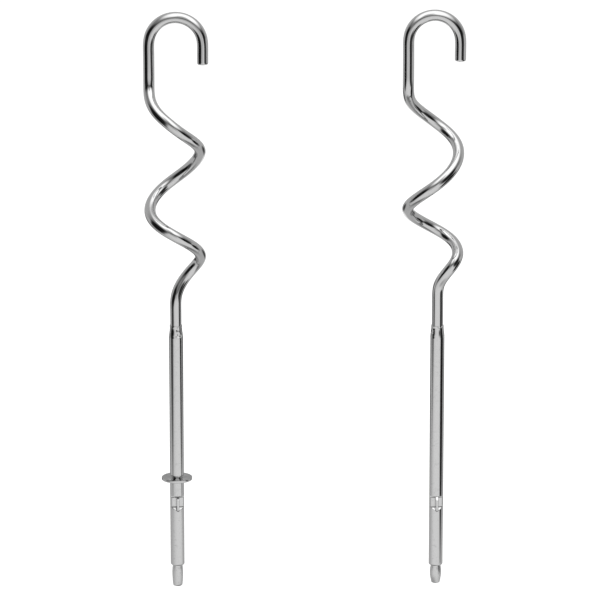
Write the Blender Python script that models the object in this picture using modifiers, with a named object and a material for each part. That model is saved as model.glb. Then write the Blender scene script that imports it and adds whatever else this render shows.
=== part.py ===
"""A mirrored pair of dough hooks for a hand mixer.

Each hook is one bent wire: a U bend at the free end, an open helix, and a straight shank.
A thin tube is swaged onto the shank. Two ears pressed out of the tube take the drive, and a
small turned plug closes the tube's end. A loose collar turns in a groove of the left tube.
The left helix is left-handed and the right helix is right-handed, so the pair folds dough inwards.

Z points up, from the tips to the U bends. X points from the left hook to the right hook.
The origin is midway between the two shanks, level with the left hook's tip. Sizes are in metres.
"""

import math

import bmesh
import bpy
import numpy as np

# Layout of the pair
SHANK_OFFSET_X = 0.0507

# Wire
WIRE_RADIUS = 0.00225
HELIX_RADIUS = 0.0097
SPIGOT_BOTTOM_Z = 0.0780
HELIX_POINTS = 72
BEND_POINTS = 19

# Each hook: the sense of its helix, where the wire leaves the shank's axis, the height of each
# quarter turn that follows, how far the helix stands off the shank's axis, and its U bend.
HOOKS = {
    "left": {
        "side": -1,
        "turn_sign": -1,
        "spiral_start_z": 0.1156,
        "spiral_start_turn": math.radians(-68),
        "quarter_turn_z": (0.1338, 0.1446, 0.1526, 0.1628, 0.1758, 0.1872, 0.2024),
        "helix_offset_x": 0.0,
        "bend_centre_z": 0.2179,
        "bend_radius": 0.0103,
        "free_end_z": 0.2099,
        "tip_z": 0.0,
        "nose_radius": 0.00216,
        "ear_turn": math.radians(7),
        "has_collar": True,
    },
    "right": {
        "side": 1,
        "turn_sign": 1,
        "spiral_start_z": 0.1196,
        "spiral_start_turn": math.radians(-56),
        "quarter_turn_z": (0.1353, 0.1431, 0.1529, 0.1640, 0.1754, 0.1856, 0.2026),
        "helix_offset_x": -0.0021,
        "bend_centre_z": 0.2192,
        "bend_radius": 0.0099,
        "free_end_z": 0.2113,
        "tip_z": 0.0013,
        "nose_radius": 0.00224,
        "ear_turn": math.radians(6),
        "has_collar": False,
    },
}

# Shank tube
TUBE_RADIUS = 0.00275
BORE_RADIUS = 0.00235
TUBE_TOP_Z = 0.1065
TUBE_BOTTOM_Z = 0.0087
SWAGE_LENGTH = 0.0046
SWAGE_LIP = 0.0014
SWAGE_RADIUS = 0.00253
ROLL_RADIUS = 0.0007
TUBE_STEPS = 32

# Groove of the left tube, and the collar that turns in it
COLLAR_Z = 0.0443
COLLAR_RADIUS = 0.0060
COLLAR_THICKNESS = 0.0010
COLLAR_HOLE_RADIUS = 0.00220
COLLAR_SEAT_RADIUS = 0.0030
COLLAR_HOLE_ROLL = 0.0001
COLLAR_EDGE = 0.00015
COLLAR_STEPS = 40
COLLAR_PLAY = 0.0003
GROOVE_RADIUS = 0.00210
GROOVE_BORE_RADIUS = 0.00170
GROOVE_SHOULDER = 0.0014

# Drive ears
EAR_Z = 0.0344
EAR_HALF_LENGTH = 0.0030
EAR_THICKNESS = 0.0012
EAR_REACH = 0.0038
EAR_END_SLOPE = 0.0011
POCKET_HALF_LENGTH = 0.0029
POCKET_FLOOR = 0.00175
POCKET_RAMP = 0.0010
PRESSED_WALL = 0.00045
CORE_SEGMENTS = 28

# Nose plug
PLUG_TOP_Z = 0.0240
PLUG_STEM_RADIUS = 0.00220
PLUG_NECK_RADIUS = 0.00192
PLUG_NECK_TOP_Z = 0.0108
PLUG_NECK_BOTTOM_Z = 0.0080
NOSE_END_RADIUS = 0.00120
NOSE_STEPS = 24

PLATED_STEEL = (0.62, 0.62, 0.63, 1.0)


def clear_scene():
    for obj in list(bpy.data.objects):
        bpy.data.objects.remove(obj, do_unlink=True)


def make_collection(name, helper=False):
    collection = bpy.data.collections.new(name)
    bpy.context.scene.collection.children.link(collection)
    collection.hide_render = helper
    return collection


def make_steel(name, roughness):
    material = bpy.data.materials.new(name)
    material.use_nodes = True
    shader = material.node_tree.nodes["Principled BSDF"]
    shader.inputs["Base Color"].default_value = PLATED_STEEL
    shader.inputs["Metallic"].default_value = 1.0
    shader.inputs["Roughness"].default_value = roughness
    return material


def add_object(name, data, collection, axis):
    obj = bpy.data.objects.new(name, data)
    obj.parent = axis
    collection.objects.link(obj)
    return obj


def add_helper(name, mesh, helpers, axis):
    obj = add_object(name, mesh, helpers, axis)
    obj.hide_render = True
    obj.display_type = "WIRE"
    return obj


def arc(centre, radius, start_degrees, end_degrees, count):
    """Points (radius, height) along an arc of a turned profile."""
    angles = np.radians(np.linspace(start_degrees, end_degrees, count))
    return [(centre[0] + radius * math.cos(a), centre[1] + radius * math.sin(a)) for a in angles]


def turned(name, parts, axis, profile, steps, material, closed=True):
    """A solid of revolution. Its profile runs down the outer side, and up a ring's inner side."""
    count = len(profile)
    mesh = bpy.data.meshes.new(name)
    points = [(radius, 0.0, height) for radius, height in profile]
    edges = [(i, (i + 1) % count) for i in range(count if closed else count - 1)]
    mesh.from_pydata(points, edges, [])
    mesh.materials.append(material)
    obj = add_object(name, mesh, parts, axis)
    screw = obj.modifiers.new("Turn", "SCREW")
    screw.steps = steps
    screw.render_steps = steps
    screw.use_merge_vertices = True
    screw.merge_threshold = 0.00001
    screw.use_smooth_shade = True
    return obj


def turn_at(height, heights, turns):
    """The angle turned at a height: a cubic through the quarter turns that is level at the last one."""
    spans = np.diff(heights)
    chords = np.diff(turns) / spans
    slopes = np.zeros(len(heights))
    slopes[0] = chords[0]
    slopes[1:-1] = (chords[:-1] * spans[1:] + chords[1:] * spans[:-1]) / (spans[:-1] + spans[1:])
    i = min(int(np.searchsorted(heights, height, side="right")) - 1, len(spans) - 1)
    t = (height - heights[i]) / spans[i]
    start = turns[i] * (2 * t**3 - 3 * t**2 + 1) + slopes[i] * spans[i] * (t**3 - 2 * t**2 + t)
    end = turns[i + 1] * (3 * t**2 - 2 * t**3) + slopes[i + 1] * spans[i] * (t**3 - t**2)
    return start + end


def ease(value):
    value = min(max(value, 0.0), 1.0)
    return value * value * (3 - 2 * value)


def wire_path(hook):
    """The wire's centre line from inside the tube to the free end of the U bend."""
    heights = np.array((hook["spiral_start_z"],) + hook["quarter_turn_z"])
    quarters = np.radians(90.0 * np.arange(len(hook["quarter_turn_z"])))
    turns = np.concatenate(([hook["spiral_start_turn"]], quarters))
    path = [(0.0, 0.0, SPIGOT_BOTTOM_Z)]
    for height in np.linspace(heights[0], heights[-1], HELIX_POINTS):
        grown = ease((height - heights[0]) / (heights[1] - heights[0]))
        angle = turn_at(height, heights, turns)
        x = grown * (hook["helix_offset_x"] + HELIX_RADIUS * math.cos(angle))
        y = grown * hook["turn_sign"] * HELIX_RADIUS * math.sin(angle)
        path.append((x, y, height))
    leg_x = path[-1][0]
    radius = hook["bend_radius"]
    for angle in np.linspace(math.pi, 0.0, BEND_POINTS):
        x = leg_x + radius + radius * math.cos(angle)
        path.append((x, 0.0, hook["bend_centre_z"] + radius * math.sin(angle)))
    path.append((leg_x + 2 * radius, 0.0, hook["free_end_z"]))
    return path


def make_wire(name, parts, axis, hook, material):
    path = wire_path(hook)
    curve = bpy.data.curves.new(name, "CURVE")
    curve.dimensions = "3D"
    curve.bevel_depth = WIRE_RADIUS
    curve.bevel_resolution = 2
    curve.use_fill_caps = True
    curve.materials.append(material)
    spline = curve.splines.new("POLY")
    spline.use_smooth = True
    spline.points.add(len(path) - 1)
    for point, place in zip(spline.points, path):
        point.co = (*place, 1.0)
    return add_object(name, curve, parts, axis)


def tube_profile(grooved):
    """The tube's section: swaged mouth, optional groove, rolled-in lower lip, and bore."""
    outer = [
        (SWAGE_RADIUS, TUBE_TOP_Z),
        (SWAGE_RADIUS, TUBE_TOP_Z - SWAGE_LIP),
        (TUBE_RADIUS, TUBE_TOP_Z - SWAGE_LENGTH),
    ]
    inner = []
    if grooved:
        groove_top = COLLAR_Z + COLLAR_THICKNESS / 2 + COLLAR_PLAY
        groove_bottom = COLLAR_Z - COLLAR_THICKNESS / 2 - COLLAR_PLAY
        depth = TUBE_RADIUS - GROOVE_RADIUS
        outer.append((TUBE_RADIUS, groove_top + GROOVE_SHOULDER))
        outer += arc((GROOVE_RADIUS, groove_top + depth), depth, 0, -90, 5)
        outer.append((GROOVE_RADIUS, groove_bottom))
        outer.append((TUBE_RADIUS, groove_bottom - COLLAR_EDGE))
        inner.append((BORE_RADIUS, groove_bottom - GROOVE_SHOULDER))
        inner.append((GROOVE_BORE_RADIUS, groove_bottom))
        inner.append((GROOVE_BORE_RADIUS, groove_top))
        inner.append((BORE_RADIUS, groove_top + GROOVE_SHOULDER))
    lip_radius = TUBE_RADIUS - ROLL_RADIUS
    lip_top = TUBE_BOTTOM_Z + TUBE_RADIUS - BORE_RADIUS
    outer += arc((lip_radius, TUBE_BOTTOM_Z + ROLL_RADIUS), ROLL_RADIUS, 0, -90, 5)
    outer.append((lip_radius, lip_top))
    outer.append((BORE_RADIUS, lip_top + ROLL_RADIUS))
    return outer + inner + [(BORE_RADIUS, TUBE_TOP_Z)]


def block(name, helpers, axis, low, high, chamfered=(), chamfer=0.0):
    """A box between two corners. Each chamfered edge runs along X, given by its (y sign, z sign)."""
    low = np.array(low)
    high = np.array(high)
    middle = (low + high) / 2
    bm = bmesh.new()
    bmesh.ops.create_cube(bm, size=1.0)
    for vert in bm.verts:
        vert.co = middle + np.array(vert.co) * (high - low)
    along_x = [edge for edge in bm.edges if edge.verts[0].co.x * edge.verts[1].co.x < 0]
    corners = []
    for edge in along_x:
        place = edge.verts[0].co
        if (np.sign(place.y - middle[1]), np.sign(place.z - middle[2])) in chamfered:
            corners.append(edge)
    if corners:
        bmesh.ops.bevel(bm, geom=corners, offset=chamfer, segments=1, affect="EDGES")
    mesh = bpy.data.meshes.new(name)
    bm.to_mesh(mesh)
    bm.free()
    return add_helper(name, mesh, helpers, axis)


def round_bar(name, helpers, axis, radius, low_z, high_z):
    bm = bmesh.new()
    bmesh.ops.create_cone(
        bm,
        cap_ends=True,
        segments=CORE_SEGMENTS,
        radius1=radius,
        radius2=radius,
        depth=high_z - low_z,
    )
    bmesh.ops.translate(bm, verts=bm.verts, vec=(0.0, 0.0, (low_z + high_z) / 2))
    mesh = bpy.data.meshes.new(name)
    bm.to_mesh(mesh)
    bm.free()
    return add_helper(name, mesh, helpers, axis)


def boolean(obj, other, operation):
    modifier = obj.modifiers.new(f"{operation.title()} {other.name}", "BOOLEAN")
    modifier.operation = operation
    modifier.solver = "EXACT"
    modifier.object = other


def press_ears(tube, helpers, axis, ear_turn):
    """Two opposite ears pressed out of the tube: flat pockets with a lower ramp, and a rib between them."""
    low_z = EAR_Z - POCKET_HALF_LENGTH
    high_z = EAR_Z + POCKET_HALF_LENGTH
    slot_half = POCKET_FLOOR - PRESSED_WALL
    reach = 3 * TUBE_RADIUS
    core = round_bar(
        f"{tube.name}_core",
        helpers,
        axis,
        (TUBE_RADIUS + BORE_RADIUS) / 2,
        low_z - PRESSED_WALL,
        high_z + PRESSED_WALL,
    )
    slot = block(
        f"{tube.name}_slot",
        helpers,
        axis,
        (-reach, -slot_half, low_z - reach),
        (reach, slot_half, high_z + reach),
    )
    boolean(core, slot, "DIFFERENCE")
    boolean(tube, core, "UNION")
    turned_tools = [core, slot]
    for face, half_turn in (("front", 0.0), ("back", math.pi)):
        pocket = block(
            f"{tube.name}_{face}_pocket",
            helpers,
            axis,
            (-reach, -reach, low_z),
            (reach, -POCKET_FLOOR, high_z),
            chamfered=((1.0, -1.0),),
            chamfer=POCKET_RAMP,
        )
        rib = block(
            f"{tube.name}_{face}_rib",
            helpers,
            axis,
            (-EAR_THICKNESS / 2, -EAR_REACH, EAR_Z - EAR_HALF_LENGTH),
            (EAR_THICKNESS / 2, PRESSED_WALL / 2 - POCKET_FLOOR, EAR_Z + EAR_HALF_LENGTH),
            chamfered=((-1.0, -1.0), (-1.0, 1.0)),
            chamfer=EAR_END_SLOPE,
        )
        boolean(tube, pocket, "DIFFERENCE")
        boolean(tube, rib, "UNION")
        for tool in (pocket, rib):
            tool.rotation_euler.z = half_turn
            turned_tools.append(tool)
    for tool in turned_tools:
        tool.rotation_euler.z += ear_turn


def nose_profile(hook):
    """The plug from its top, down the stem and neck, round the barrel nose to the flat tip."""
    tip_z = hook["tip_z"]
    barrel_radius = hook["nose_radius"]
    barrel_length = PLUG_NECK_BOTTOM_Z - tip_z
    chamfer = PLUG_STEM_RADIUS - PLUG_NECK_RADIUS
    return [
        (0.0, PLUG_TOP_Z),
        (PLUG_STEM_RADIUS - chamfer, PLUG_TOP_Z),
        (PLUG_STEM_RADIUS, PLUG_TOP_Z - chamfer),
        (PLUG_STEM_RADIUS, PLUG_NECK_TOP_Z),
        (PLUG_NECK_RADIUS, PLUG_NECK_TOP_Z - chamfer),
        (PLUG_NECK_RADIUS, PLUG_NECK_BOTTOM_Z),
        (barrel_radius - chamfer / 4, tip_z + 0.80 * barrel_length),
        (barrel_radius, tip_z + 0.62 * barrel_length),
        (barrel_radius - chamfer / 2, tip_z + 0.40 * barrel_length),
        (0.78 * barrel_radius, tip_z + 0.16 * barrel_length),
        (0.70 * barrel_radius, tip_z + 0.05 * barrel_length),
        (NOSE_END_RADIUS, tip_z),
        (0.0, tip_z),
    ]


def collar_profile():
    """The collar's section. Its underside is flat outside the seat radius, and rolls in at the hole."""
    low_z = COLLAR_Z - COLLAR_THICKNESS / 2
    high_z = COLLAR_Z + COLLAR_THICKNESS / 2
    rim = COLLAR_RADIUS - COLLAR_EDGE
    return [
        (COLLAR_HOLE_RADIUS, high_z),
        (rim, high_z),
        (COLLAR_RADIUS, high_z - COLLAR_EDGE),
        (COLLAR_RADIUS, low_z + COLLAR_EDGE),
        (rim, low_z),
        (COLLAR_SEAT_RADIUS, low_z),
        (COLLAR_HOLE_RADIUS, low_z + COLLAR_HOLE_ROLL),
    ]


def make_hook(side, hook, parts, helpers, wire_steel, tube_steel):
    """One hook on an empty at its shank's axis, about which it turns in use."""
    axis = bpy.data.objects.new(f"{side}_shank_axis", None)
    axis.location.x = hook["side"] * SHANK_OFFSET_X
    parts.objects.link(axis)
    make_wire(f"{side}_hook_wire", parts, axis, hook, wire_steel)
    profile = tube_profile(grooved=hook["has_collar"])
    tube = turned(f"{side}_shank_tube", parts, axis, profile, TUBE_STEPS, tube_steel)
    press_ears(tube, helpers, axis, hook["ear_turn"])
    profile = nose_profile(hook)
    turned(f"{side}_nose_plug", parts, axis, profile, NOSE_STEPS, tube_steel, closed=False)
    return axis


def main():
    clear_scene()
    parts = make_collection("dough_hook_pair")
    helpers = make_collection("press_tools", helper=True)
    wire_steel = make_steel("bright_plated_wire", 0.08)
    tube_steel = make_steel("satin_plated_tube", 0.22)
    collar_steel = make_steel("plated_collar", 0.15)
    for side, hook in HOOKS.items():
        axis = make_hook(side, hook, parts, helpers, wire_steel, tube_steel)
        if hook["has_collar"]:
            turned("collar", parts, axis, collar_profile(), COLLAR_STEPS, collar_steel)


main()
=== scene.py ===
"""The looks of a mirrored pair of plated dough hooks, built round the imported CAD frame.

Each hook has three fine meshes: the bent wire, the tube with its swaged mouth, pressed ears and
rolled lip, and the turned nose plug. The left tube also carries a loose stamped collar. Steel
shows its surroundings, so a dome with a pale table, a grey room, a soft light and dark gaps stands
round the pair. Only the steel sees it.
Sizes are in metres, in the frame's axes: +Z up along the shanks, +X to the right, +Y to the back.
"""

import math

import bmesh
import bpy
import numpy as np
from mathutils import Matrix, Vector


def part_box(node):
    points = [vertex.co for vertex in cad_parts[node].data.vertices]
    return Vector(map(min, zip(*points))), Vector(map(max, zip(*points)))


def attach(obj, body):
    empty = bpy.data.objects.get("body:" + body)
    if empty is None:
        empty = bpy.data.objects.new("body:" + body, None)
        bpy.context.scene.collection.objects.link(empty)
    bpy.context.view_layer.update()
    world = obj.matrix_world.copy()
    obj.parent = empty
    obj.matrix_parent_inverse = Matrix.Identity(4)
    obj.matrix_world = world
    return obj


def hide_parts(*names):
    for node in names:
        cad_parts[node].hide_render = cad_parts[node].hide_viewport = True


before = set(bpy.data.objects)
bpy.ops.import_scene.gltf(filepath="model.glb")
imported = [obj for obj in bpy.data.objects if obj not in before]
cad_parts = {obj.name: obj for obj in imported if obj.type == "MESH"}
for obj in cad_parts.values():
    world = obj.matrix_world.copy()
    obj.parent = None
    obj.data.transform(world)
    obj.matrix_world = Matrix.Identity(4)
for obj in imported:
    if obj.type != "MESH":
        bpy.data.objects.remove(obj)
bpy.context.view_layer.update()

# Wire. Its radius keeps it inside the flat sides of the CAD wire.
WIRE_RADIUS = 0.00216
HELIX_RADIUS = 0.0097
SPIGOT_BOTTOM_Z = 0.0780
END_ROUNDING = 0.0007
SHANK_POINTS = 60
HELIX_POINTS = 460
BEND_POINTS = 100
LEG_POINTS = 24
END_RINGS = 8
WIRE_SIDES = 48
WIRE_STEP = 0.00025
BEND_EASING = 0.0022

# Each hook. Its wire is as the CAD model makes it: where it leaves the shank's axis, the height of
# each quarter turn that follows, how far the helix stands off the axis, and the U bend. The nose's
# foot and shoulder are shares of its widest radius. A dent in the tube's mouth is (degrees from the
# front, distance below the mouth, radius, depth), and a ledge is (degrees from the front, half its
# width in degrees, distance below the mouth, depth).
HOOKS = {
    "left": {
        "turn_sign": -1,
        "spiral_start_z": 0.1156,
        "spiral_start_turn": math.radians(-68),
        "quarter_turn_z": (0.1338, 0.1446, 0.1526, 0.1628, 0.1758, 0.1872, 0.2024),
        "helix_offset_x": 0.0,
        "bend_centre_z": 0.2179,
        "bend_radius": 0.0103,
        "free_end_z": 0.2099,
        "nose_radius": 0.00216,
        "nose_foot": 0.88,
        "nose_shoulder": 0.965,
        "ear_turn": math.radians(7),
        "has_collar": True,
        "crimp_turn": 0.4,
        "dents": ((14, 0.0015, 0.0010, 0.00028), (20, 0.0031, 0.0009, 0.00024)),
        "ledges": (
            (27, 30, 0.0047, 0.00026),
            (-30, 16, 0.0005, 0.00010),
            (16, 16, 0.0005, 0.00010),
        ),
    },
    "right": {
        "turn_sign": 1,
        "spiral_start_z": 0.1196,
        "spiral_start_turn": math.radians(-56),
        "quarter_turn_z": (0.1353, 0.1431, 0.1529, 0.1640, 0.1754, 0.1856, 0.2026),
        "helix_offset_x": -0.0021,
        "bend_centre_z": 0.2192,
        "bend_radius": 0.0099,
        "free_end_z": 0.2113,
        "nose_radius": 0.00224,
        "nose_foot": 0.78,
        "nose_shoulder": 0.95,
        "ear_turn": math.radians(6),
        "has_collar": False,
        "crimp_turn": 1.3,
        "dents": ((-38, 0.0010, 0.0008, 0.00008), (-52, 0.0028, 0.0006, 0.00006)),
        "ledges": ((27, 26, 0.0008, 0.00030), (-62, 22, 0.0031, 0.00012)),
    },
}

# Tube. The swaging jaws' marks grow over CRIMP_RISE from just under the swaged length, and fade
# over CRIMP_FADE towards the mouth. A ledge's ends ease off over LEDGE_END degrees.
TUBE_RADIUS = 0.00275
TUBE_WALL = 0.0004
MOUTH_RADIUS = 0.00242
SWAGE_LENGTH = 0.0046
SWAGE_LIP = 0.0009
CRIMP_DEPTH = 0.00007
CRIMP_JAWS = 4
CRIMP_START = 0.0004
CRIMP_RISE = 0.0008
CRIMP_FADE = 0.0012
LEDGE_HEIGHT = 0.00035
LEDGE_FADE = 0.0020
LEDGE_END = 9.0
LIP_ROUNDING = 0.0007
LIP_RINGS = 12
EDGE_ROUNDING = 0.00012
INSIDE_RING_STEP = 4
FRONT = math.radians(-90)

# Angles round half the tube, in degrees from the ear: where a stretch starts and ends, and how many
EAR_COLUMNS = ((-90, -56, 10), (-56, -24, 24), (-24, 24, 60), (24, 56, 24), (56, 90, 10))
# Where the tube's rings stand close together: stretches about the ears' and the groove's heights
EAR_STRETCH = 0.0034
EAR_FOOT_STRETCH = 0.0015
EAR_TOP_STRETCH = 0.0017
GROOVE_STRETCH_BELOW = 0.0012
GROOVE_STRETCH_ABOVE = 0.0018
SWAGE_STRETCH = 0.0006

# Ears and their pockets. An ear's height is above the tube's lower end, its reach is from the
# tube's axis, and its drops are how far its top and its foot slope down towards the tube.
EAR_RISE = 0.0257
EAR_HALF_LENGTH = 0.0030
EAR_HALF_THICKNESS = 0.0004
EAR_DRAFT = 0.15
EAR_REACH = 0.0038
EAR_TOP_DROP = 0.0013
EAR_FOOT_DROP = 0.0005
POCKET_HALF_LENGTH = 0.0029
POCKET_FLOOR = 0.00175
POCKET_RAMP = 0.0012
POCKET_RAMP_SLOPE = 0.94
POCKET_TOP_SLOPE = 6.0
TOP_SLIT_LENGTH = 0.0006
FOOT_SLIT_LENGTH = 0.00035
SLIT_DEPTH = 0.0007
# These keep the shapes finite away from the ear
LEAST_FACING = 0.2
LEAST_SIDEWAYS = 0.02
FACING_THE_EAR = 0.5

# Collar and its groove
GROOVE_RADIUS = 0.00210
GROOVE_PLAY = 0.0003
GROOVE_FOOT = 0.00015
COLLAR_HOLE_RADIUS = 0.00220
COLLAR_ROUNDING = 0.00022
COLLAR_DISH = 0.00028
COLLAR_DISH_RADII = (0.0053, 0.0028)
COLLAR_DISH_RINGS = 14
COLLAR_EDGE_RINGS = 8
COLLAR_SIDES = 160

# Nose plug. Its outline goes through shares of its widest radius at shares of the barrel's height.
PLUG_STEM_RADIUS = 0.00220
PLUG_NECK_RADIUS = 0.00192
PLUG_NECK_TOP_Z = 0.0108
PLUG_NECK_BOTTOM_Z = 0.0086
NOSE_END_RADIUS = 0.00120
NOSE_END_RINGS = 8
NOSE_END_TOP = math.radians(-20)
NOSE_END_SPARE = 0.005
NOSE_HEIGHTS = (0.09, 0.22, 0.42, 0.60, 0.82)
NOSE_LOW_SHARE = 0.6
NOSE_MIDDLE = 0.97
NOSE_BARREL_RINGS = 40
PLUG_SIDES = 96

# Steels, by material slot: name, grey, roughness, depth of the marks along the grain, depth of the
# shallow dents, and how much darker the duller patches of plating are
STEELS = {
    "wire": ("bright_plated_wire", 0.56, 0.07, 0.0000004, 0.000002, 0.05),
    "tube": ("plated_tube", 0.57, 0.09, 0.000001, 0.000006, 0.10),
    "plug": ("satin_plated_plug", 0.58, 0.22, 0.000001, 0.000004, 0.12),
    "collar": ("plated_collar", 0.55, 0.06, 0.000001, 0.000016, 0.20),
}
MARK_SCALE = (2600.0, 2600.0, 60.0)
DENT_SCALE = 420.0
TARNISH_SCALE = 900.0
TARNISH_STARTS = 0.56
TARNISH_FULL = 0.72
# How much rougher the steel is in its duller patches and along its marks, as a share
DULL_ROUGHENING = 0.6
MARK_ROUGHENING = 0.5

# Studio
CAMERA_TARGET = Vector((-0.0026, 0.0, 0.1165))
CAMERA_ELEVATION = math.radians(15.5)
CAMERA_DISTANCE = 1.859
CAMERA_LENS = 288.0
SENSOR_WIDTH = 36.0
CAMERA_REACH = 50.0
WORLD_STRENGTH = 1.12
FLOOR_Z = -0.055
FLOOR_HALF_WIDTH = 8.0
FLOOR_GREYS = (0.90, 0.93)
SOFTBOX_SIZE = (1.0, 1.2)
SOFTBOX_HEIGHT = 1.1
SOFTBOX_POWER = 4.0

# The room that the steel shows. A direction is (azimuth, elevation) in degrees, from the room's
# centre: azimuth 0 is the camera's side and 90 is the right. A height or depth is the z or y of a
# direction of length 1.
ROOM_RADIUS = 0.30
ROOM_CENTRE_Z = 0.17
ROOM_GREY = 0.42
BACK_GREY = 0.62
TABLE_GREY = 1.04
SOFTBOX_GREY = 1.90
TABLE_EDGE = (0.12, 0.22)
UNDERFOOT = (-0.86, -1.0)
UNDERFOOT_SHARE = 0.20
BACK_STARTS = (-0.25, 0.35)
# Round patches: a direction, then an inner and an outer radius in degrees. The table fades away
# from its patch, and each of the room's patches ends with what its light is multiplied by.
TABLE_PATCH = (14.0, -38.0, 0.0, 75.0)
TABLE_FAR_SHARE = 0.68
SOFTBOX_PATCH = (15.0, 70.0, 20.0, 49.0)
ROOM_PATCHES = (
    (-60.0, 4.0, 20.0, 34.0, 0.04),
    (-74.0, -16.0, 14.0, 27.0, 0.10),
    (52.0, 4.0, 16.0, 29.0, 0.04),
    (80.0, -26.0, 14.0, 24.0, 0.02),
    (0.0, 31.0, 5.0, 17.0, 0.60),
    (0.0, 47.0, 5.0, 15.0, 0.50),
    (-5.0, 5.0, 5.0, 21.0, 0.70),
    (-36.0, 8.0, 6.0, 19.0, 0.30),
    (34.0, 8.0, 6.0, 20.0, 0.25),
    (180.0, -34.0, 6.0, 20.0, 1.90),
    (140.0, -28.0, 6.0, 22.0, 0.12),
    (-140.0, -28.0, 6.0, 22.0, 0.12),
    (-174.0, -9.0, 6.0, 24.0, 0.70),
)


def ease(value):
    """0 to 1 without a corner at either end."""
    value = np.clip(value, 0.0, 1.0)
    return value * value * (3 - 2 * value)


def soft_min(a, b, width):
    """The smaller of two values, rounded over where they meet."""
    blend = np.clip(0.5 + 0.5 * (b - a) / width, 0.0, 1.0)
    return b + (a - b) * blend - width * blend * (1 - blend)


def soft_max(a, b, width):
    return -soft_min(-a, -b, width)


# Meshes


def skin(node_name, rings, grain, wrapped=False):
    """A mesh through rings of points. Its ends are capped, or joined to each other when wrapped."""
    name = f"{node_name}_fine"
    count, sides = rings.shape[:2]
    verts = rings.reshape(-1, 3)
    grain = grain.reshape(-1, 3)
    faces = []
    last = count if wrapped else count - 1
    for i in range(last):
        low = i * sides
        high = ((i + 1) % count) * sides
        for j in range(sides):
            k = (j + 1) % sides
            faces.append((low + j, low + k, high + k, high + j))
    if not wrapped:
        for ring, order in ((0, -1), (count - 1, 1)):
            centre = len(verts)
            verts = np.vstack((verts, rings[ring].mean(0)))
            grain = np.vstack((grain, rings[ring].mean(0)))
            for j in range(sides):
                k = (j + 1) % sides
                pair = (ring * sides + j, ring * sides + k)[::order]
                faces.append((pair[0], pair[1], centre))
    mesh = bpy.data.meshes.new(name)
    mesh.from_pydata(verts.tolist(), [], faces)
    attribute = mesh.attributes.new("grain", "FLOAT_VECTOR", "POINT")
    attribute.data.foreach_set("vector", grain.astype(np.float32).ravel())
    mesh.validate()
    mesh.shade_smooth()
    obj = bpy.data.objects.new(name, mesh)
    bpy.context.scene.collection.objects.link(obj)
    return obj


def turned(name, centre_x, profile, sides, wrapped):
    """A turned piece. The profile gives (radius, height) points, from the bottom up its outside."""
    angles = np.linspace(0, 2 * math.pi, sides, endpoint=False)
    radius = np.array([r for r, _ in profile])[:, None]
    height = np.array([z for _, z in profile])[:, None] + 0 * angles
    local = np.stack((radius * np.cos(angles), radius * np.sin(angles), height), axis=2)
    placed = local + np.array((centre_x, 0.0, 0.0))
    return skin(name, placed, local, wrapped)


def turn_at(heights_wanted, heights, turns):
    """The angle turned at each height: a cubic through the quarter turns, level at the last one."""
    spans = np.diff(heights)
    chords = np.diff(turns) / spans
    slopes = np.zeros(len(heights))
    slopes[0] = chords[0]
    slopes[1:-1] = (chords[:-1] * spans[1:] + chords[1:] * spans[:-1]) / (spans[:-1] + spans[1:])
    i = np.clip(np.searchsorted(heights, heights_wanted, side="right") - 1, 0, len(spans) - 1)
    t = (heights_wanted - heights[i]) / spans[i]
    start = turns[i] * (2 * t**3 - 3 * t**2 + 1) + slopes[i] * spans[i] * (t**3 - 2 * t**2 + t)
    end = turns[i + 1] * (3 * t**2 - 2 * t**3) + slopes[i + 1] * spans[i] * (t**3 - t**2)
    return start + end


def wire_path(hook):
    """The centre line, from inside the tube to where the free end starts to round off."""
    heights = np.array((hook["spiral_start_z"],) + hook["quarter_turn_z"])
    quarters = np.radians(90.0 * np.arange(len(hook["quarter_turn_z"])))
    turns = np.concatenate(([hook["spiral_start_turn"]], quarters))
    shank_z = np.linspace(SPIGOT_BOTTOM_Z, heights[0], SHANK_POINTS, endpoint=False)
    shank = np.stack((0 * shank_z, 0 * shank_z, shank_z), axis=1)
    z = np.linspace(heights[0], heights[-1], HELIX_POINTS)
    grown = ease((z - heights[0]) / (heights[1] - heights[0]))
    angle = turn_at(z, heights, turns)
    x = grown * (hook["helix_offset_x"] + HELIX_RADIUS * np.cos(angle))
    y = grown * hook["turn_sign"] * HELIX_RADIUS * np.sin(angle)
    helix = np.stack((x, y, z), axis=1)
    leg_x = x[-1]
    leg_z = np.linspace(z[-1], hook["bend_centre_z"], LEG_POINTS)[1:-1]
    leg = np.stack((0 * leg_z + leg_x, 0 * leg_z, leg_z), axis=1)
    radius = hook["bend_radius"]
    bend_angle = np.linspace(math.pi, 0.0, BEND_POINTS)
    bend_x = leg_x + radius + radius * np.cos(bend_angle)
    bend_z = hook["bend_centre_z"] + radius * np.sin(bend_angle)
    bend = np.stack((bend_x, 0 * bend_x, bend_z), axis=1)
    end_z = np.linspace(hook["bend_centre_z"], hook["free_end_z"] + END_ROUNDING, LEG_POINTS)[1:]
    end = np.stack((0 * end_z + leg_x + 2 * radius, 0 * end_z, end_z), axis=1)
    return np.concatenate((shank, helix, leg, bend, end))


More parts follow.
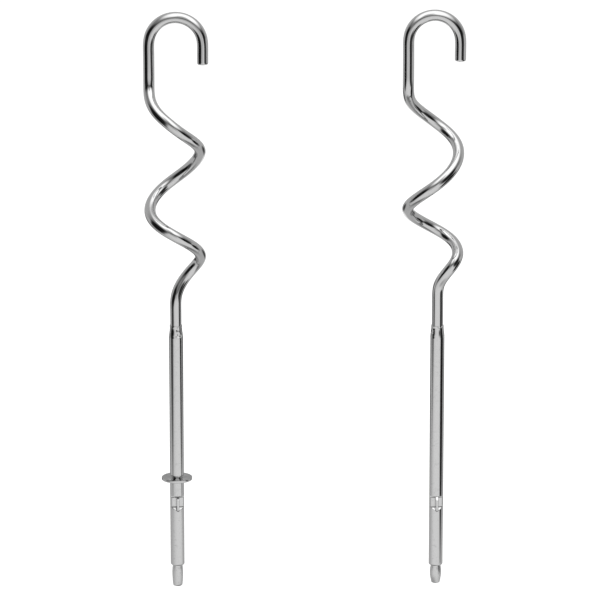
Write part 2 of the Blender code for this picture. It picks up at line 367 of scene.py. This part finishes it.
def relaxed(path):
    """The same line in even steps, with each sudden change of curvature eased, as in a real bend."""
    reached = np.concatenate(([0.0], np.cumsum(np.linalg.norm(np.diff(path, axis=0), axis=1))))
    wanted = np.linspace(0.0, reached[-1], round(reached[-1] / WIRE_STEP) + 1)
    even = np.stack([np.interp(wanted, reached, path[:, i]) for i in range(3)], axis=1)
    reach = round(3 * BEND_EASING / WIRE_STEP)
    steps = np.arange(1, reach + 1)[:, None]
    before = even[0] + (even[0] - even[1]) * steps[::-1]
    after = even[-1] + (even[-1] - even[-2]) * steps
    weights = np.exp(-0.5 * (np.arange(-reach, reach + 1) * WIRE_STEP / BEND_EASING) ** 2)
    weights /= weights.sum()

    def blurred(line, start, end):
        padded = np.vstack((start, line, end))
        columns = [np.convolve(padded[:, i], weights, mode="valid") for i in range(3)]
        return np.stack(columns, axis=1)

    soft = blurred(even, before, after)
    # Adding back the blurred difference keeps the bends at their full radius.
    return soft + blurred(even - soft, 0 * before, 0 * after)


def carried_frames(tangents):
    """Two directions across the wire at each point, carried along it without twist."""
    across = np.array((1.0, 0.0, 0.0))
    firsts = []
    for tangent in tangents:
        across = across - tangent * across.dot(tangent)
        across = across / np.linalg.norm(across)
        firsts.append(across)
    firsts = np.array(firsts)
    return firsts, np.cross(tangents, firsts)


def make_wire(name, centre_x, hook):
    """The bent wire: its sides swept along the eased centre line, with a rounded sawn end."""
    path = relaxed(wire_path(hook))
    tangents = np.gradient(path, axis=0)
    tangents /= np.linalg.norm(tangents, axis=1)[:, None]
    radii = np.full(len(path), WIRE_RADIUS)
    # The sawn end's edge is rounded off.
    roll = np.linspace(0, math.pi / 2, END_RINGS + 1)[1:, None]
    path = np.vstack((path, path[-1] + tangents[-1] * END_ROUNDING * np.sin(roll)))
    tangents = np.vstack((tangents, np.repeat(tangents[-1:], END_RINGS, axis=0)))
    rounded = WIRE_RADIUS - END_ROUNDING * (1 - np.cos(roll[:, 0]))
    radii = np.concatenate((radii, rounded))
    firsts, seconds = carried_frames(tangents)
    angles = np.linspace(0, 2 * math.pi, WIRE_SIDES, endpoint=False)
    cos = (radii[:, None] * np.cos(angles))[:, :, None]
    sin = (radii[:, None] * np.sin(angles))[:, :, None]
    rings = path[:, None, :] + firsts[:, None, :] * cos + seconds[:, None, :] * sin
    steps = np.linalg.norm(np.diff(path, axis=0), axis=1)
    along = np.concatenate(([0.0], np.cumsum(steps)))[:, None] + 0 * angles
    grain = np.stack((cos[:, :, 0], sin[:, :, 0], along), axis=2)
    rings = rings + np.array((centre_x, 0.0, 0.0))
    return skin(name, rings, grain)


def ear_columns(ear_turn):
    """Angles round the tube, close together where the ears and pockets are."""
    half = np.concatenate([np.linspace(a, b, n, endpoint=False) for a, b, n in EAR_COLUMNS])
    front = FRONT + ear_turn
    return np.concatenate((front + np.radians(half), front + np.radians(half + 180)))


def groove_radius(z, collar_z, collar_half):
    """The tube's radius near its groove: a rounded shoulder above it and a sharp foot below."""
    top = collar_z + collar_half + GROOVE_PLAY
    bottom = collar_z - collar_half - GROOVE_PLAY
    depth = TUBE_RADIUS - GROOVE_RADIUS
    up = np.clip((z - top) / depth, 0.0, 1.0)
    above = GROOVE_RADIUS + depth * np.sqrt(1 - (1 - up) ** 2)
    below = TUBE_RADIUS - depth * np.clip((z - bottom + GROOVE_FOOT) / GROOVE_FOOT, 0.0, 1.0)
    return np.where(z > collar_z, above, below)


def pocket_radius(z, turned_from_ear, ear_z):
    """How far out the wall reaches behind a pressed pocket, which is slit open at both its ends."""
    rise = np.abs(z - ear_z)
    open_end = np.where(z > ear_z, 0.0, POCKET_RAMP)
    past = rise - (POCKET_HALF_LENGTH - open_end)
    slope = np.where(z > ear_z, POCKET_TOP_SLOPE, POCKET_RAMP_SLOPE)
    slit_length = np.where(z > ear_z, TOP_SLIT_LENGTH, FOOT_SLIT_LENGTH)
    slit = SLIT_DEPTH * ((past > -slit_length) & (past < 0.0))
    depth_line = POCKET_FLOOR - slit + slope * np.maximum(past, 0.0)
    facing = np.maximum(np.cos(turned_from_ear), LEAST_FACING)
    return depth_line / facing


def ear_radius(z, turned_from_ear, ear_z):
    """How far out the ear's rib reaches: a thin blade with sloped ends and drafted sides."""
    rise = np.abs(z - ear_z)
    drop = np.where(z > ear_z, EAR_TOP_DROP, EAR_FOOT_DROP)
    reach = EAR_REACH - np.maximum(rise - (EAR_HALF_LENGTH - drop), 0.0)
    reach = np.where(rise > EAR_HALF_LENGTH, 0.0, reach)
    facing = np.maximum(np.cos(turned_from_ear), LEAST_FACING)
    sideways = np.maximum(np.abs(np.sin(turned_from_ear)), LEAST_SIDEWAYS)
    flank = (EAR_HALF_THICKNESS + EAR_DRAFT * EAR_REACH) / (sideways + EAR_DRAFT * facing)
    return soft_min(reach / facing, flank, EDGE_ROUNDING)


def tube_heights(low_z, high_z, ear_z, groove_z):
    """Heights of the rings, close together at the lip, the ears, the groove and the mouth."""
    ear_foot = ear_z - EAR_STRETCH
    ear_top = ear_z + EAR_STRETCH
    swage_foot = high_z - SWAGE_LENGTH - SWAGE_STRETCH
    stretches = [
        (low_z + LIP_ROUNDING, ear_foot, 20),
        (ear_foot, ear_z - EAR_FOOT_STRETCH, 26),
        (ear_z - EAR_FOOT_STRETCH, ear_z + EAR_TOP_STRETCH, 16),
        (ear_z + EAR_TOP_STRETCH, ear_top, 26),
    ]
    reached = ear_top
    if groove_z:
        groove_foot = groove_z - GROOVE_STRETCH_BELOW
        groove_top = groove_z + GROOVE_STRETCH_ABOVE
        stretches.append((reached, groove_foot, 6))
        stretches.append((groove_foot, groove_top, 46))
        reached = groove_top
    stretches.append((reached, swage_foot, 26))
    stretches.append((swage_foot, high_z, 80))
    return np.concatenate([np.linspace(a, b, n, endpoint=False) for a, b, n in stretches])


def swaging_marks(z, around, mouth_z, hook):
    """How far the swaging pressed the tube's mouth in: shallow dents, and ledges facing up."""
    pressed = 0 * z
    for degrees, below, radius, depth in hook["dents"]:
        away = around - (FRONT + math.radians(degrees))
        facing = np.cos(away) > 0
        distance = np.hypot(TUBE_RADIUS * np.sin(away), z - (mouth_z - below))
        pressed = pressed + depth * ease(1 - distance / radius) * facing
    for degrees, half_width, below, depth in hook["ledges"]:
        away = around - (FRONT + math.radians(degrees))
        off = np.degrees(np.arccos(np.cos(away)))
        step = ease((z - (mouth_z - below)) / LEDGE_HEIGHT)
        fade = ease((mouth_z - below + LEDGE_FADE - z) / (LEDGE_FADE - LEDGE_HEIGHT))
        pressed = pressed + depth * step * fade * ease((half_width - off) / LEDGE_END)
    return pressed


def make_tube(name, centre_x, hook):
    """The shank's tube. Its ears, pockets, groove and marks are changes of radius at each point."""
    low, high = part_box(name)
    ear_z = low.z + EAR_RISE
    collar_low, collar_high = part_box("collar")
    collar_z = (collar_low.z + collar_high.z) / 2
    collar_half = (collar_high.z - collar_low.z) / 2
    groove_z = collar_z if hook["has_collar"] else None
    columns = ear_columns(hook["ear_turn"])
    z = tube_heights(low.z, high.z, ear_z, groove_z)[:, None] + 0 * columns
    around = 0 * z + columns

    # Plain tube, drawn in to the wire at its mouth with the marks of the swaging jaws
    swage_start = high.z - SWAGE_LENGTH
    drawn = ease((z - swage_start) / (SWAGE_LENGTH - SWAGE_LIP))
    outer = TUBE_RADIUS + (MOUTH_RADIUS - TUBE_RADIUS) * drawn
    jaw = np.abs(np.cos(CRIMP_JAWS / 2 * around + hook["crimp_turn"]))
    begun = ease((z - swage_start + CRIMP_START) / CRIMP_RISE)
    worked = begun * ease((high.z - z) / CRIMP_FADE)
    outer = outer - CRIMP_DEPTH * worked * jaw - swaging_marks(z, around, high.z, hook)
    mouth_edge = np.clip((z - (high.z - EDGE_ROUNDING)) / EDGE_ROUNDING, 0.0, 1.0)
    outer = outer - EDGE_ROUNDING * (1 - np.sqrt(1 - mouth_edge**2))
    if groove_z:
        outer = np.minimum(outer, groove_radius(z, collar_z, collar_half))

    # Pockets pressed in on both sides of each ear
    front = FRONT + hook["ear_turn"]
    ribs = 0 * z
    wall_inside = outer - TUBE_WALL
    for face in (front, front + math.pi):
        turned_from_ear = around - face
        pocket = pocket_radius(z, turned_from_ear, ear_z)
        outer = soft_min(outer, pocket, EDGE_ROUNDING)
        wall_inside = np.minimum(wall_inside, pocket - TUBE_WALL)
        facing_it = np.cos(turned_from_ear) > FACING_THE_EAR
        ribs = np.where(facing_it, ear_radius(z, turned_from_ear, ear_z), ribs)
    outer = soft_max(outer, ribs, EDGE_ROUNDING)

    # Lower lip, rolled in round the plug's neck, and the inside of the wall back up to the mouth
    roll = np.linspace(-math.pi / 2, 0.0, LIP_RINGS, endpoint=False)[:, None]
    lip_radius = TUBE_RADIUS - LIP_ROUNDING + LIP_ROUNDING * np.cos(roll)
    lip_z = low.z + LIP_ROUNDING + LIP_ROUNDING * np.sin(roll)
    inside_rows = slice(None, None, -INSIDE_RING_STEP)
    radius = np.vstack((lip_radius + 0 * columns, outer, wall_inside[inside_rows]))
    height = np.vstack((lip_z + 0 * columns, z, z[inside_rows]))
    local = np.stack((radius * np.cos(columns), radius * np.sin(columns), height), axis=2)
    return skin(name, local + np.array((centre_x, 0.0, 0.0)), local, wrapped=True)


def smooth_profile(points, count):
    """A smooth curve through (radius, height) points that rise steadily."""
    points = np.array(points)
    heights = points[:, 1]
    wanted = np.linspace(heights[0], heights[-1], count)
    slopes = np.gradient(points[:, 0], heights)
    i = np.clip(np.searchsorted(heights, wanted, side="right") - 1, 0, len(heights) - 2)
    span = heights[i + 1] - heights[i]
    t = (wanted - heights[i]) / span
    start = points[i, 0] * (2 * t**3 - 3 * t**2 + 1) + slopes[i] * span * (t**3 - 2 * t**2 + t)
    end = points[i + 1, 0] * (3 * t**2 - 2 * t**3) + slopes[i + 1] * span * (t**3 - t**2)
    return list(zip(start + end, wanted))


def make_plug(name, centre_x, hook):
    """The turned nose: a rounded end, a barrel, a neck, and a stem inside the tube."""
    low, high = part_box(name)
    barrel = PLUG_NECK_BOTTOM_Z - low.z
    widest = hook["nose_radius"]
    foot = hook["nose_foot"]
    rounding = widest * (foot + NOSE_END_SPARE) - NOSE_END_RADIUS
    profile = []
    for angle in np.linspace(-math.pi / 2, NOSE_END_TOP, NOSE_END_RINGS, endpoint=False):
        radius = NOSE_END_RADIUS + rounding * math.cos(angle)
        profile.append((radius, low.z + rounding + rounding * math.sin(angle)))
    above_foot = 1 - NOSE_LOW_SHARE + NOSE_LOW_SHARE * foot
    shares = (foot, above_foot, NOSE_MIDDLE, 1.0, hook["nose_shoulder"])
    outline = [(share * widest, low.z + up * barrel) for share, up in zip(shares, NOSE_HEIGHTS)]
    outline.append((PLUG_NECK_RADIUS, PLUG_NECK_BOTTOM_Z))
    profile += smooth_profile(outline, NOSE_BARREL_RINGS)
    chamfer = PLUG_STEM_RADIUS - PLUG_NECK_RADIUS
    profile += [
        (PLUG_NECK_RADIUS, PLUG_NECK_TOP_Z - chamfer),
        (PLUG_STEM_RADIUS, PLUG_NECK_TOP_Z),
        (PLUG_STEM_RADIUS, high.z - chamfer),
        (PLUG_STEM_RADIUS - chamfer, high.z),
    ]
    return turned(name, centre_x, profile, PLUG_SIDES, wrapped=False)


def make_collar(name, centre_x):
    """The stamped collar: a flat underside, a slightly dished top, and rounded edges."""
    low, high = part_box(name)
    rim = (high.x - low.x) / 2
    rounding = COLLAR_ROUNDING
    dish_rim, dish_foot = COLLAR_DISH_RADII
    profile = []
    for centre_r, centre_z, start in (
        (rim - rounding, low.z + rounding, -90),
        (rim - rounding, high.z - rounding, 0),
        (COLLAR_HOLE_RADIUS + rounding, high.z - COLLAR_DISH - rounding, 90),
        (COLLAR_HOLE_RADIUS + rounding, low.z + rounding, 180),
    ):
        for angle in np.radians(np.linspace(start, start + 90, COLLAR_EDGE_RINGS)):
            radius = centre_r + rounding * math.cos(angle)
            profile.append((radius, centre_z + rounding * math.sin(angle)))
        if start == 0:
            for radius in np.linspace(dish_rim, dish_foot, COLLAR_DISH_RINGS):
                across = (radius - dish_rim) / (dish_foot - dish_rim)
                profile.append((radius, high.z - COLLAR_DISH * ease(across)))
    return turned(name, centre_x, profile, COLLAR_SIDES, wrapped=True)


# Materials


def node(tree, kind, inputs, **settings):
    """A new shader node. Each input is a value, or another node's output to link to it."""
    made = tree.nodes.new(kind)
    for key, value in settings.items():
        setattr(made, key, value)
    for key, value in inputs.items():
        if isinstance(value, bpy.types.NodeSocket):
            tree.links.new(value, made.inputs[key])
        else:
            made.inputs[key].default_value = value
    return made


def empty_material(name):
    material = bpy.data.materials.new(name)
    material.use_nodes = True
    material.node_tree.nodes.clear()
    return material, material.node_tree


def plated_steel(name, grey, roughness, marks, dents, tarnish):
    """Plated steel: fine marks along the grain, shallow dents, and patches of duller plating."""
    material, tree = empty_material(name)
    grain = node(tree, "ShaderNodeAttribute", {}, attribute_name="grain").outputs["Vector"]
    stretched = node(
        tree, "ShaderNodeMapping", {"Vector": grain, "Scale": MARK_SCALE}
    ).outputs["Vector"]
    lines = node(
        tree, "ShaderNodeTexNoise", {"Vector": stretched, "Scale": 1.0, "Detail": 3.0}
    ).outputs["Fac"]
    waves = node(
        tree, "ShaderNodeTexNoise", {"Vector": grain, "Scale": DENT_SCALE, "Detail": 2.0}
    ).outputs["Fac"]
    patches = node(
        tree, "ShaderNodeTexNoise", {"Vector": grain, "Scale": TARNISH_SCALE, "Detail": 5.0}
    ).outputs["Fac"]
    dull = node(
        tree,
        "ShaderNodeMapRange",
        {"Value": patches, "From Min": TARNISH_STARTS, "From Max": TARNISH_FULL},
    ).outputs["Result"]
    shade = node(
        tree,
        "ShaderNodeMapRange",
        {"Value": dull, "To Min": grey, "To Max": grey * (1 - tarnish)},
    ).outputs["Result"]
    colour = node(
        tree, "ShaderNodeCombineColor", {"Red": shade, "Green": shade, "Blue": shade}
    ).outputs["Color"]
    worn = node(
        tree,
        "ShaderNodeMath",
        {0: dull, 1: roughness * DULL_ROUGHENING, 2: roughness},
        operation="MULTIPLY_ADD",
    ).outputs["Value"]
    rough = node(
        tree,
        "ShaderNodeMath",
        {0: lines, 1: roughness * MARK_ROUGHENING, 2: worn},
        operation="MULTIPLY_ADD",
    ).outputs["Value"]
    dented = node(
        tree, "ShaderNodeBump", {"Height": waves, "Strength": 1.0, "Distance": dents}
    ).outputs["Normal"]
    marked = node(
        tree,
        "ShaderNodeBump",
        {"Height": lines, "Strength": 1.0, "Distance": marks, "Normal": dented},
    ).outputs["Normal"]
    shader = node(
        tree,
        "ShaderNodeBsdfPrincipled",
        {"Base Color": colour, "Metallic": 1.0, "Roughness": rough, "Normal": marked},
    )
    node(tree, "ShaderNodeOutputMaterial", {"Surface": shader.outputs["BSDF"]})
    return material


def pale_paper(name):
    material, tree = empty_material(name)
    fibres = node(tree, "ShaderNodeTexNoise", {"Scale": 60.0, "Detail": 3.0}).outputs["Fac"]
    darkest, palest = FLOOR_GREYS
    shade = node(
        tree, "ShaderNodeMapRange", {"Value": fibres, "To Min": darkest, "To Max": palest}
    ).outputs["Result"]
    colour = node(
        tree, "ShaderNodeCombineColor", {"Red": shade, "Green": shade, "Blue": shade}
    ).outputs["Color"]
    shader = node(tree, "ShaderNodeBsdfDiffuse", {"Color": colour})
    node(tree, "ShaderNodeOutputMaterial", {"Surface": shader.outputs["BSDF"]})
    return material


# Studio


def maths(tree, operation, a, b):
    return node(tree, "ShaderNodeMath", {0: a, 1: b}, operation=operation).outputs["Value"]


def steady_change(tree, value, start, end, from_value, to_value):
    """A value that goes smoothly from one value to another as the given one crosses a stretch."""
    return node(
        tree,
        "ShaderNodeMapRange",
        {
            "Value": value,
            "From Min": start,
            "From Max": end,
            "To Min": from_value,
            "To Max": to_value,
        },
        interpolation_type="SMOOTHSTEP",
    ).outputs["Result"]


def patch(tree, towards, azimuth, elevation, inner, outer, inside, outside):
    """A round patch of the room: one value within the inner angle, another past the outer one."""
    azimuth, elevation, inner, outer = (math.radians(a) for a in (azimuth, elevation, inner, outer))
    centre = (
        math.sin(azimuth) * math.cos(elevation),
        -math.cos(azimuth) * math.cos(elevation),
        math.sin(elevation),
    )
    closeness = node(
        tree, "ShaderNodeVectorMath", {0: towards, 1: centre}, operation="DOT_PRODUCT"
    ).outputs["Value"]
    return steady_change(tree, closeness, math.cos(outer), math.cos(inner), outside, inside)


def room_glow(name):
    """What the steel shows: a pale table, a grey room, a soft light above, and paler and darker
    patches round it."""
    material, tree = empty_material(name)
    place = node(tree, "ShaderNodeTexCoord", {}).outputs["Object"]
    towards = node(
        tree, "ShaderNodeVectorMath", {0: place}, operation="NORMALIZE"
    ).outputs["Vector"]
    across = node(tree, "ShaderNodeSeparateXYZ", {"Vector": towards})
    height = across.outputs["Z"]
    depth = across.outputs["Y"]
    front = steady_change(tree, height, *TABLE_EDGE, TABLE_GREY, ROOM_GREY)
    under = steady_change(tree, height, *UNDERFOOT, 1.0, UNDERFOOT_SHARE)
    front = maths(tree, "MULTIPLY", front, under)
    table_fade = patch(tree, towards, *TABLE_PATCH, 1.0, TABLE_FAR_SHARE)
    front = maths(tree, "MULTIPLY", front, table_fade)
    behind = steady_change(tree, depth, *BACK_STARTS, 0.0, 1.0)
    change = maths(tree, "MULTIPLY", maths(tree, "SUBTRACT", BACK_GREY, front), behind)
    walls = maths(tree, "ADD", front, change)
    above = patch(tree, towards, *SOFTBOX_PATCH, 1.0, 0.0)
    light = maths(tree, "MULTIPLY", maths(tree, "SUBTRACT", SOFTBOX_GREY, walls), above)
    glow = maths(tree, "ADD", walls, light)
    for round_patch in ROOM_PATCHES:
        glow = maths(tree, "MULTIPLY", glow, patch(tree, towards, *round_patch, 1.0))
    shine = node(tree, "ShaderNodeEmission", {"Strength": glow}).outputs["Emission"]
    node(tree, "ShaderNodeOutputMaterial", {"Surface": shine})
    return material


def make_room():
    """A dome round the pair that only the steel sees."""
    mesh = bpy.data.meshes.new("room")
    bm = bmesh.new()
    bmesh.ops.create_uvsphere(bm, u_segments=48, v_segments=24, radius=ROOM_RADIUS)
    bm.to_mesh(mesh)
    bm.free()
    mesh.materials.append(room_glow("room_glow"))
    room = bpy.data.objects.new("room", mesh)
    room.location.z = ROOM_CENTRE_Z
    bpy.context.scene.collection.objects.link(room)
    room.visible_camera = False
    room.visible_diffuse = False
    room.visible_shadow = False


def make_studio():
    """Pale surroundings and floor, the room that the steel shows, and a softbox above."""
    scene = bpy.context.scene
    scene.view_settings.view_transform = "Standard"
    scene.view_settings.look = "None"

    world = bpy.data.worlds.new("pale_room")
    scene.world = world
    world.use_nodes = True
    background = world.node_tree.nodes["Background"]
    background.inputs["Color"].default_value = (1.0, 1.0, 1.0, 1.0)
    background.inputs["Strength"].default_value = WORLD_STRENGTH

    half = FLOOR_HALF_WIDTH
    mesh = bpy.data.meshes.new("floor")
    corners = [(-half, -half), (half, -half), (half, half), (-half, half)]
    mesh.from_pydata([(x, y, FLOOR_Z) for x, y in corners], [], [(0, 1, 2, 3)])
    mesh.materials.append(pale_paper("pale_paper"))
    floor = bpy.data.objects.new("floor", mesh)
    scene.collection.objects.link(floor)
    floor.visible_glossy = False
    make_room()

    light = bpy.data.lights.new("softbox", "AREA")
    light.shape = "RECTANGLE"
    light.size, light.size_y = SOFTBOX_SIZE
    light.energy = SOFTBOX_POWER
    softbox = bpy.data.objects.new("softbox", light)
    softbox.location.z = SOFTBOX_HEIGHT
    softbox.visible_camera = False
    softbox.visible_glossy = False
    scene.collection.objects.link(softbox)


def make_camera():
    camera_data = bpy.data.cameras.new("camera")
    camera_data.lens = CAMERA_LENS
    camera_data.sensor_width = SENSOR_WIDTH
    camera_data.clip_end = CAMERA_REACH
    camera = bpy.data.objects.new("camera", camera_data)
    bpy.context.scene.collection.objects.link(camera)
    towards = Vector((0.0, -math.cos(CAMERA_ELEVATION), math.sin(CAMERA_ELEVATION)))
    camera.location = CAMERA_TARGET + CAMERA_DISTANCE * towards
    camera.rotation_euler = (math.pi / 2 - CAMERA_ELEVATION, 0.0, 0.0)
    bpy.context.scene.camera = camera


def place(piece, node_name, body, slot, material):
    """Give a piece its material, and let it stand for a CAD node and ride on its body."""
    piece.data.materials.append(material)
    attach(piece, body)
    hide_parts(node_name)


def main():
    make_camera()
    make_studio()
    steels = {slot: plated_steel(*look) for slot, look in STEELS.items()}
    for side, hook in HOOKS.items():
        plug_low, plug_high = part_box(f"{side}_nose_plug")
        centre_x = (plug_low.x + plug_high.x) / 2
        body = f"{side}_hook"
        for node_name, slot, make in (
            (f"{side}_hook_wire", "wire", make_wire),
            (f"{side}_shank_tube", "tube", make_tube),
            (f"{side}_nose_plug", "plug", make_plug),
        ):
            piece = make(node_name, centre_x, hook)
            place(piece, node_name, body, slot, steels[slot])
        if hook["has_collar"]:
            place(make_collar("collar", centre_x), "collar", "collar", "collar", steels["collar"])


main()
bpy.context.view_layer.update()
